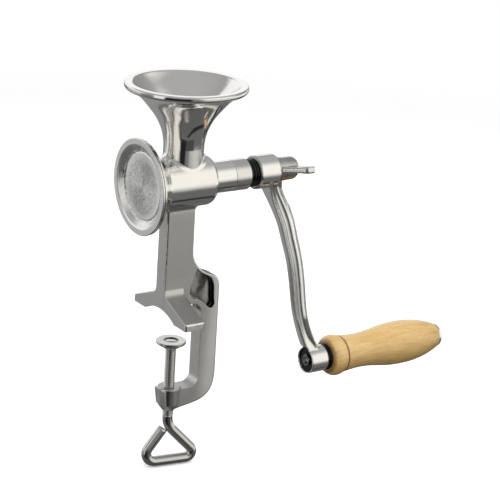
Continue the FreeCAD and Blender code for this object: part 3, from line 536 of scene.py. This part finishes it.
def cast_skin(node, name, voxel, rounds, key, body, grain=0.0, grain_scale=1.0, bulge=None, sweep=None):
    """A closed skin over a CAD node with its edges softened as on a polished casting."""
    src = N[node]
    ob = bpy.data.objects.new(name, src.data.copy())
    sc.collection.objects.link(ob)
    md = ob.modifiers.new("skin", 'REMESH')
    md.mode = 'VOXEL'
    md.voxel_size = voxel * MM
    md.use_smooth_shade = True
    sm = ob.modifiers.new("soft", 'SMOOTH')
    sm.factor = 0.5
    sm.iterations = rounds
    deps = bpy.context.evaluated_depsgraph_get()
    me = bpy.data.meshes.new_from_object(ob.evaluated_get(deps))
    me.name = name
    ob.modifiers.clear()
    ob.data = me
    if sweep:
        even_out(me, sweep[0] * MM, sweep[1] * MM, 160)
    if bulge:
        for v in me.vertices:
            v.co = bulge(v.co)
    if grain:
        norms = [v.normal.copy() for v in me.vertices]
        for v, nn in zip(me.vertices, norms):
            v.co = v.co + nn * (noise.fractal(v.co / MM * grain_scale, 1.0, 2.0, 3) * grain * MM)
    me.polygons.foreach_set("use_smooth", [True] * len(me.polygons))
    me.materials.clear()
    me.materials.append(MATS[key])
    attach(ob, body)
    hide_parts(node)
    return ob


# ---------------------------------------------------------------- clamp screw with its thread
def make_clamp_screw():
    seg, pitch, crest, root, rod = 40, 1.25, 4.0, 3.36, 3.75
    tilt = math.radians(-9.0)
    rings = []

    def flat(r, z):
        rings.append([(r * math.cos(2 * math.pi * j / seg), r * math.sin(2 * math.pi * j / seg), z) for j in range(seg)])

    # peened head in the pad, neck
    for r, z in ((1.6, -20.92), (3.4, -21.06), (4.3, -21.22), (4.6, -21.42), (4.6, -22.08), (4.45, -22.2), (3.0, -22.25), (3.0, -25.7), (3.1, -25.78), (3.35, -25.86)):
        flat(r, z)
    z0, z1 = -26.3, -80.5
    rows = int(abs(z1 - z0) / pitch * 14)
    for i in range(rows + 1):
        z = z0 + (z1 - z0) * i / rows
        fade = min(1.0, (z0 - z) / 1.4, (z - z1) / 1.6)
        fade = max(0.0, fade)
        row = []
        for j in range(seg):
            a = 2 * math.pi * j / seg
            ph = (z / pitch - a / (2 * math.pi)) % 1.0
            t = abs(ph - 0.5) * 2.0
            s = min(1.0, max(0.0, (t - 0.20) / (0.86 - 0.20)))
            full = root + (crest - root) * s
            ends = 3.4 if z > -40 else rod
            r = ends + (full - ends) * fade
            row.append((r * math.cos(a), r * math.sin(a), z))
        rings.append(row)
    # bent rod
    path = [Vector((0, -80.5)), Vector((0, -88.0)), Vector((27.1, -116.75)), Vector((-22.5, -116.5)), Vector((-3.2, -90.4))]
    radii = [0, 15.5, 4.8, 7.0, 0]
    pts = []
    for i, p in enumerate(path):
        if radii[i] <= 0:
            pts.append(p)
            continue
        u, v = (path[i - 1] - p).normalized(), (path[i + 1] - p).normalized()
        ang = u.angle(v)
        t = radii[i] / math.tan(ang / 2)
        c = p + (u + v).normalized() * (radii[i] / math.sin(ang / 2))
        s, e = p + u * t - c, p + v * t - c
        a0 = math.atan2(s.y, s.x)
        da = (math.atan2(e.y, e.x) - a0 + math.pi) % (2 * math.pi) - math.pi
        k = max(6, int(abs(da) * radii[i] / 0.7))
        for q in range(k + 1):
            a = a0 + da * q / k
            pts.append(Vector((c.x + radii[i] * math.cos(a), c.y + radii[i] * math.sin(a))))
    dense = [pts[0]]
    for a, b in zip(pts, pts[1:]):
        k = max(1, int((b - a).length / 2.0))
        for q in range(1, k + 1):
            dense.append(a.lerp(b, q / k))

    def ring_at(c, T, r):
        nx, nz = -T.y, T.x
        return [(c.x + r * math.cos(2 * math.pi * j / seg) * nx, r * math.sin(2 * math.pi * j / seg), c.y + r * math.cos(2 * math.pi * j / seg) * nz) for j in range(seg)]

    for i in range(1, len(dense)):
        a, b = dense[max(0, i - 1)], dense[min(len(dense) - 1, i + 1)]
        T = (b - a).normalized()
        r = rod * (1.0 + 0.012 * noise.noise(Vector((i * 0.21, 3.1, 0.7))))
        if i == len(dense) - 1:
            rings.append(ring_at(dense[i] - T * 0.5, T, rod))
            rings.append(ring_at(dense[i] - T * 0.12, T, rod - 0.4))
            rings.append(ring_at(dense[i], T, rod - 0.75))
        else:
            rings.append(ring_at(dense[i], T, r))
    ct, st = math.cos(tilt), math.sin(tilt)
    verts = []
    for row in rings:
        for x, y, z in row:
            verts.append(((x * ct - y * st) * MM, (x * st + y * ct) * MM, z * MM))
    faces = []
    for i in range(len(rings) - 1):
        for j in range(seg):
            k = (j + 1) % seg
            faces.append((i * seg + j, i * seg + k, (i + 1) * seg + k, (i + 1) * seg + j))
    top = len(verts)
    verts.append((0, 0, -20.86 * MM))
    end = dense[-1]
    verts.append((end.x * ct * MM, end.x * st * MM, end.y * MM))
    base = (len(rings) - 1) * seg
    for j in range(seg):
        k = (j + 1) % seg
        faces.append((top, k, j))
        faces.append((top + 1, base + j, base + k))
    return add_piece("clamp_screw_threaded", verts, faces, "rod", "clamp", "clamp_screw", 50)


make_clamp_screw()


# ---------------------------------------------------------------- grinding disc
def make_disc():
    DX, DR, FX = -33.25, 34.65, -29.55
    cone, edge = 0.55, 1.4
    gx = lambda r: DX + edge + (DR - r) * cone
    t = 1.9
    front = rounded([(FX, 0.0), (FX, 23.4), (FX + 0.18, 24.1), (FX + 0.42, 24.5), (FX + 0.30, 24.95), (FX - 0.30, 25.35), (FX - 0.42, 25.9), (DX + 0.55, 29.3), (DX, 30.4), (DX - 0.0, 34.2), (DX + 0.35, DR), (gx(DR), DR)],
                    [0, 0.6, 0.5, 0.25, 0.25, 0.3, 0.5, 0.9, 0.7, 0.35, 0.3, 0], 5)
    dense = []
    for a, b in zip(front, front[1:]):
        L = math.hypot(b[0] - a[0], b[1] - a[1])
        k = max(1, int(L / 0.55))
        for q in range(k):
            dense.append((a[0] + (b[0] - a[0]) * q / k, a[1] + (b[1] - a[1]) * q / k))
    dense.append(front[-1])
    back = [(gx(25.2), 25.2), (gx(25.2) - t, 25.2), (gx(17.4) - t, 17.4), (gx(17.4), 17.4), (gx(9.5), 9.5), (-9.6, 9.5), (-9.0, 9.0), (-9.0, 5.0), (-24.0, 5.0), (-24.0, 0.0)]
    prof = dense + back

    def shift(x, r, a):
        if x > -28.9 or r > 33.9 or r < 1.0:
            return 0.0, 0.0
        p = Vector((r * math.cos(a), r * math.sin(a), 5.0))
        if r < 23.6:
            return noise.fractal(p * 0.9, 1.0, 2.0, 3) * 0.05 + noise.noise(p * 0.12) * 0.10, 0.0
        if r < 27.0:
            k = math.exp(-((r - 24.9) / 0.9) ** 2)
            return k * (noise.fractal(p * 0.35, 1.0, 2.0, 4) * 0.34), k * noise.fractal(p * 0.30 + Vector((9, 2, 4)), 1.0, 2.0, 3) * 0.42
        return noise.noise(p * 0.22) * 0.03, 0.0

    verts, faces = lathe_x(prof, SHAFT_Z, 256, shift)
    return add_piece("grinding_disc_cast", verts, faces, "disc", "drive", "grinding_disc", 50)


make_disc()


# ---------------------------------------------------------------- tension rings
def make_rings():
    verts, faces = [], []
    x0, x1 = 56.1, 63.1
    w = (x1 - x0) / 3.0
    for i in range(3):
        a, b = x0 + i * w + 0.03, x0 + (i + 1) * w - 0.03
        c = (a + b) / 2
        prof = [(a, 6.4), (a, 8.1)]
        for k in range(1, 14):
            t = math.pi * k / 14
            prof.append((c - (b - a) / 2 * math.cos(t), 8.1 + 2.3 * math.sin(t) ** 0.8))
        prof += [(b, 8.1), (b, 6.4)]
        v, f = lathe_x(prof, SHAFT_Z, 96, None, True)
        o = len(verts)
        verts += v
        faces += [tuple(q + o for q in g) for g in f]
    return add_piece("tension_rings_moulded", verts, faces, "rubber", "crank", "tension_rings", 60)


make_rings()

# ---------------------------------------------------------------- grip bolt, bush and collar
_cap = rounded([(249.72, 4.0), (249.72, 8.9), (249.9, 9.1), (251.6, 9.1), (252.1, 8.75), (252.45, 7.9), (252.85, 5.6), (253.1, 2.8), (253.15, 0.0)], [0, 0.1, 0.15, 0.4, 0.5, 1.5, 4.0, 6.0, 0], 5)
_v, _f = lathe_x(rounded([(122.9, 0.0), (122.9, 2.3), (123.5, 3.0), (138.4, 3.0), (138.4, 4.0)], [0, 0.3, 0.3, 0, 0], 4) + _cap, GRIP_Z, 96)
add_piece("grip_bolt_domed", _v, _f, "dome", "crank", "grip_bolt", 40)
_v, _f = lathe_x(rounded([(124.7, 3.02), (124.7, 8.9), (125.2, 9.48), (126.98, 9.48), (126.98, 8.79), (138.78, 8.79), (138.78, 4.02), (138.4, 4.02), (138.4, 3.02)],
                         [0, 0.5, 0.5, 0, 0, 0, 0, 0, 0], 4), GRIP_Z, 96, None, True)
add_piece("grip_bush_moulded", _v, _f, "plastic", "crank", "grip_bush", 45)
_v, _f = lathe_x(rounded([(138.84, 4.03), (138.84, 9.0), (139.1, 9.3), (140.6, 9.3), (140.9, 9.9), (141.2, 10.2), (142.0, 10.2), (142.3, 9.9), (142.3, 4.03)],
                         [0, 0.2, 0.2, 0.3, 0.3, 0.4, 0.2, 0.2, 0], 4), GRIP_Z, 96, None, True)
add_piece("grip_collar_moulded", _v, _f, "plastic", "crank", "grip_collar", 45)


# ---------------------------------------------------------------- softened castings
def tip_bulge(co):
    """Thicker, rounded wing tips."""
    y, z = co.y, co.z - SHAFT_Z * MM
    up = math.radians(10.5)
    d = Vector((0, -math.cos(up), math.sin(up)))
    nn = Vector((0, math.sin(up), math.cos(up)))
    rho = abs(y * d.y + z * d.z)
    off = y * nn.y + z * nn.z
    if rho < 15 * MM:
        return co
    k = min(1.0, max(0.0, (rho - 19.5 * MM) / (4.0 * MM)))
    k = k * k * (3 - 2 * k)
    return co + nn * off * (0.22 * k)


cast_skin("crank_arm", "crank_arm_cast", 0.42, 6, "crank", "crank", sweep=(-45.0, 88.0))
cast_skin("wing_nut", "wing_nut_cast", 0.26, 5, "nut", "wing_nut", 0.05, 1.3, tip_bulge)

# ---------------------------------------------------------------- floor, light
FLOOR_Z = CAD_LO[2] - 0.0004
CENTRE = Vector((0.10, 0.0, FLOOR_Z))


def make_stage():
    me = bpy.data.meshes.new("floor")
    bm = bmesh.new()
    rows = []
    for r in (0.0, 0.15, 0.3, 0.5, 0.7, 0.9, 1.2, 1.6):
        if r == 0:
            rows.append([bm.verts.new((0, 0, 0))])
            continue
        rows.append([bm.verts.new((r * math.cos(2 * math.pi * j / 64), r * math.sin(2 * math.pi * j / 64), 0)) for j in range(64)])
    for a, b in zip(rows, rows[1:]):
        for j in range(64):
            k = (j + 1) % 64
            bm.faces.new((a[0], b[j], b[k]) if len(a) == 1 else (a[j], b[j], b[k], a[k]))
    bm.to_mesh(me)
    bm.free()
    ob = bpy.data.objects.new("floor", me)
    ob.location = CENTRE
    sc.collection.objects.link(ob)
    m = Mat("floor")
    g = m.noise(m.obj, 6.0, 2.0, 0.5)
    m.color(m.ramp(g, [(0.3, (0.90, 0.90, 0.90)), (0.7, (0.92, 0.92, 0.92))]))
    m.set(Roughness=0.85, Emission_Color=(1, 1, 1, 1), Emission_Strength=0.18)
    x, y = m.axis(0), m.axis(1)
    d = m.math('SQRT', m.math('ADD', m.math('MULTIPLY', x, x), m.math('MULTIPLY', y, y)))
    m.link(m.rng(d, 0.45, 1.3, 1.0, 0.0, True), m.bsdf.inputs["Alpha"])
    me.materials.append(m.m)
    ob.visible_glossy = False
    ob.visible_diffuse = False


make_stage()


def area(name, loc, target, size, power, color=(1, 1, 1), size_y=None):
    l = bpy.data.lights.new(name, 'AREA')
    l.energy = power
    l.color = color
    l.shape = 'RECTANGLE' if size_y else 'SQUARE'
    l.size = size
    if size_y:
        l.size_y = size_y
    o = bpy.data.objects.new(name, l)
    o.location = loc
    d = Vector(target) - Vector(loc)
    o.rotation_euler = d.to_track_quat('-Z', 'Y').to_euler()
    sc.collection.objects.link(o)
    return o


for _o in (area("key", (-0.55, -0.75, 1.35), (0.05, 0, 0.05), 0.7, 9), area("fill", (1.3, -0.9, 0.9), (0.05, 0, 0.0), 0.9, 4)):
    _o.visible_glossy = False
# small bounce card before the crank, turned to it, seen only in the polish of the arm
_o = area("bounce", (0.061, -0.049, -0.020), (0.134, 0.019, -0.028), 0.044, 0.0205, (1.0, 0.99, 0.96), 0.150)
_o.visible_camera = False
_o.visible_diffuse = False


def make_world():
    """White seamless to the eye, soft top light for matt surfaces, and for the metal to mirror a dim studio with softboxes."""
    w = bpy.data.worlds.new("studio")
    w.use_nodes = True
    sc.world = w
    nt = w.node_tree
    nt.nodes.clear()
    new = nt.nodes.new

    def link(a, b):
        nt.links.new(a, b)

    def put(sock, v):
        if isinstance(v, (int, float)):
            sock.default_value = v
        else:
            link(v, sock)

    def math_(op, a, b=0.0):
        nd = new("ShaderNodeMath")
        nd.operation = op
        put(nd.inputs[0], a)
        put(nd.inputs[1], b)
        return nd.outputs[0]

    def rng(val, a, b, c, d):
        nd = new("ShaderNodeMapRange")
        nd.interpolation_type = 'SMOOTHSTEP'
        for k, v in zip(("From Min", "From Max", "To Min", "To Max"), (a, b, c, d)):
            nd.inputs[k].default_value = v
        link(val, nd.inputs["Value"])
        return nd.outputs[0]

    def ramp(val, stops):
        nd = new("ShaderNodeValToRGB")
        cr = nd.color_ramp
        while len(cr.elements) < len(stops):
            cr.elements.new(0.5)
        for e, (p, v) in zip(cr.elements, stops):
            e.position = p
            e.color = (v, v, v, 1) if isinstance(v, float) else (v[0], v[1], v[2], 1)
        link(val, nd.inputs["Fac"])
        return nd.outputs[0]

    tc = new("ShaderNodeTexCoord")

    def dot(vec):
        nd = new("ShaderNodeVectorMath")
        nd.operation = 'DOT_PRODUCT'
        link(tc.outputs["Generated"], nd.inputs[0])
        nd.inputs[1].default_value = vec
        return nd.outputs["Value"]

    def patch(az, el, half_w, half_h, soft):
        """Mask of a softbox seen at azimuth az (degrees, from +X towards +Y) and elevation el; half sizes as tangents."""
        a, e = math.radians(az), math.radians(el)
        W = Vector((math.cos(a) * math.cos(e), math.sin(a) * math.cos(e), math.sin(e)))
        U = Vector((-math.sin(a), math.cos(a), 0.0))
        V = W.cross(U)
        wv = math_('MAXIMUM', dot(W), 0.001)
        u = math_('ABSOLUTE', math_('DIVIDE', dot(U), wv))
        v = math_('ABSOLUTE', math_('DIVIDE', dot(V), wv))
        mu = rng(u, half_w, half_w + soft, 1.0, 0.0)
        mv = rng(v, half_h, half_h + soft, 1.0, 0.0)
        return math_('MULTIPLY', mu, mv)

    z = dot((0, 0, 1))
    zf = math_('ADD', math_('MULTIPLY', z, 0.5), 0.5)
    base = ramp(zf, BASE)
    cur = base
    for az, el, hw, hh, soft, colr in PATCHES:
        mx = new("ShaderNodeMix")
        mx.data_type = 'RGBA'
        link(patch(az, el, hw, hh, soft), mx.inputs[0])
        link(cur, mx.inputs[6])
        mx.inputs[7].default_value = (colr[0], colr[1], colr[2], 1)
        cur = mx.outputs[2]
    glossy = new("ShaderNodeBackground")
    link(cur, glossy.inputs["Color"])
    matt = new("ShaderNodeBackground")
    link(ramp(zf, MATT), matt.inputs["Color"])
    white = new("ShaderNodeBackground")
    white.inputs["Color"].default_value = (1, 1, 1, 1)
    lp = new("ShaderNodeLightPath")
    m1 = new("ShaderNodeMixShader")
    link(lp.outputs["Is Diffuse Ray"], m1.inputs[0])
    link(glossy.outputs[0], m1.inputs[1])
    link(matt.outputs[0], m1.inputs[2])
    m2 = new("ShaderNodeMixShader")
    link(lp.outputs["Is Camera Ray"], m2.inputs[0])
    link(m1.outputs[0], m2.inputs[1])
    link(white.outputs[0], m2.inputs[2])
    out = new("ShaderNodeOutputWorld")
    link(m2.outputs[0], out.inputs[0])


# grey value by height for the mirrored studio and for the matt light
BASE = [(0.0, 0.12), (0.07, 0.13), (0.15, 0.15), (0.25, 0.15), (0.33, 0.17), (0.40, 0.24), (0.46, 0.30), (0.50, 0.32), (0.67, 0.34), (0.88, 0.44), (1.0, 0.48)]
MATT = [(0.0, (0.17, 0.14, 0.09)), (0.45, (0.29, 0.26, 0.20)), (0.55, 0.80), (1.0, 1.18)]
# softboxes and flags: azimuth, elevation, half width, half height, softness, colour
PATCHES = [
    (100.0, 15.0, 1.5, 0.20, 0.24, (1.08, 1.08, 1.08)),     # lit backdrop
    (124.0, -15.0, 0.35, 0.12, 0.15, (0.58, 0.58, 0.58)),   # low panel, left
    (88.0, -34.0, 0.32, 0.22, 0.20, (0.30, 0.30, 0.30)),    # dim bounce under it
    (-172.0, 9.0, 0.17, 0.48, 0.09, (0.95, 0.94, 0.91)),    # tall panel, left
    (-136.0, -20.0, 0.42, 0.36, 0.10, (0.02, 0.02, 0.02)),  # dark gap beside the camera
    (0.0, -8.0, 0.80, 0.10, 0.05, (1.05, 1.05, 1.03)),      # low strip, right
    (-54.0, 17.0, 0.50, 0.29, 0.70, (1.07, 1.05, 0.98)),    # key softbox, front right
    (-54.0, -58.0, 0.55, 0.04, 0.04, (0.02, 0.02, 0.02)),   # its stand
    (21.0, -32.0, 0.19, 0.22, 0.10, (0.012, 0.012, 0.014)), # black flag, right
    (-86.0, -28.0, 0.30, 0.13, 0.10, (0.07, 0.07, 0.07)),   # shade under the key
]
make_world()
